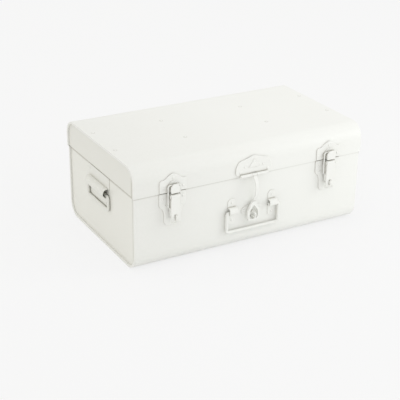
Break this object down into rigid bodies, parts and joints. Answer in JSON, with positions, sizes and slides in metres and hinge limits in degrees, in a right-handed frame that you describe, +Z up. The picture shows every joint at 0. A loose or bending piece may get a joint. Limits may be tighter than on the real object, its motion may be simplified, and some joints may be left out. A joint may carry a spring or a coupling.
{
  "type": "tin trunk",
  "caption": "Small painted sheet-metal trunk with hinged lid, draw latches, a bowed hasp and drop handles.",
  "frame": {"origin": "on the floor under the middle of the box, between its front and back faces and its two ends", "axes": "+X to the right along the length, the front with the latches faces -Y, +Z up"},
  "size_m": [0.5152, 0.3259, 0.2061],
  "materials": {
    "painted_sheet": "satin",
    "painted_hardware": "satin",
    "painted_rivets": "satin"
  },
  "bodies": {
    "trunk_body": {"body_wrap": "painted_sheet", "body_end_left": "painted_sheet", "body_end_right": "painted_sheet", "closing_lip": "painted_sheet", "latch_base_left": "painted_hardware", "latch_base_right": "painted_hardware", "latch_base_rivets": "painted_rivets", "latch_pins": "painted_hardware", "staple_plate": "painted_hardware", "hasp_staple": "painted_hardware", "staple_plate_rivets": "painted_rivets", "front_bracket_left": "painted_hardware", "front_bracket_right": "painted_hardware", "front_bracket_rivets": "painted_rivets", "end_handle_plate_left": "painted_hardware", "end_handle_plate_right": "painted_hardware", "end_handle_rivets": "painted_rivets", "hinge_body_leaf_left": "painted_hardware", "hinge_body_leaf_right": "painted_hardware", "hinge_pins": "painted_hardware", "hinge_body_rivets": "painted_rivets"},
    "lid": {"lid_wrap": "painted_sheet", "lid_end_left": "painted_sheet", "lid_end_right": "painted_sheet", "lid_rail_front": "painted_sheet", "lid_rail_back": "painted_sheet", "lid_rail_rivets": "painted_rivets", "latch_keeper_left": "painted_hardware", "latch_keeper_right": "painted_hardware", "latch_keeper_rivets": "painted_rivets", "hasp_plate": "painted_hardware", "hasp_pin": "painted_hardware", "hasp_plate_rivets": "painted_rivets", "hinge_lid_leaf_left": "painted_hardware", "hinge_lid_leaf_right": "painted_hardware", "hinge_lid_rivets": "painted_rivets"},
    "latch_lever_left": {"latch_lever_left": "painted_hardware"},
    "latch_lever_right": {"latch_lever_right": "painted_hardware"},
    "latch_bail_left": {"latch_bail_left": "painted_hardware"},
    "latch_bail_right": {"latch_bail_right": "painted_hardware"},
    "hasp": {"hasp": "painted_hardware"},
    "front_handle": {"front_handle": "painted_hardware"},
    "end_handle_left": {"end_handle_left": "painted_hardware"},
    "end_handle_right": {"end_handle_right": "painted_hardware"}
  },
  "joints": [
    {"name": "lid_hinge", "type": "hinge", "parent": "trunk_body", "child": "lid", "pos_m": [0, 0.1544, 0.148], "axis": [-1, 0, 0], "range_deg": [0, 105]},
    {"name": "hasp_swing", "type": "hinge", "parent": "lid", "child": "hasp", "pos_m": [0, -0.1552, 0.1498], "axis": [-1, 0, 0], "range_deg": [0, 140]},
    {"name": "front_handle_swing", "type": "hinge", "parent": "trunk_body", "child": "front_handle", "pos_m": [0, -0.1542, 0.08], "axis": [-1, 0, 0], "range_deg": [0, 150]},
    {"name": "end_handle_left_swing", "type": "hinge", "parent": "trunk_body", "child": "end_handle_left", "pos_m": [-0.2483, 0.008, 0.1073], "axis": [0, 1, 0], "range_deg": [0, 165]},
    {"name": "end_handle_right_swing", "type": "hinge", "parent": "trunk_body", "child": "end_handle_right", "pos_m": [0.2483, 0.008, 0.1073], "axis": [0, -1, 0], "range_deg": [0, 165]},
    {"name": "latch_lever_left_turn", "type": "hinge", "parent": "trunk_body", "child": "latch_lever_left", "pos_m": [-0.171, -0.1585, 0.142], "axis": [-1, 0, 0], "range_deg": [0, 75]},
    {"name": "latch_bail_left_turn", "type": "hinge", "parent": "latch_lever_left", "child": "latch_bail_left", "pos_m": [-0.171, -0.1569, 0.12], "axis": [1, 0, 0], "range_deg": [0, 45]},
    {"name": "latch_lever_right_turn", "type": "hinge", "parent": "trunk_body", "child": "latch_lever_right", "pos_m": [0.171, -0.1585, 0.142], "axis": [-1, 0, 0], "range_deg": [0, 75]},
    {"name": "latch_bail_right_turn", "type": "hinge", "parent": "latch_lever_right", "child": "latch_bail_right", "pos_m": [0.171, -0.1569, 0.12], "axis": [1, 0, 0], "range_deg": [0, 45]}
  ],
  "couplings": [
    {"joint": "latch_bail_left_turn", "follows": "latch_lever_left_turn", "ratio": 0.6},
    {"joint": "latch_bail_right_turn", "follows": "latch_lever_right_turn", "ratio": 0.6}
  ]
}
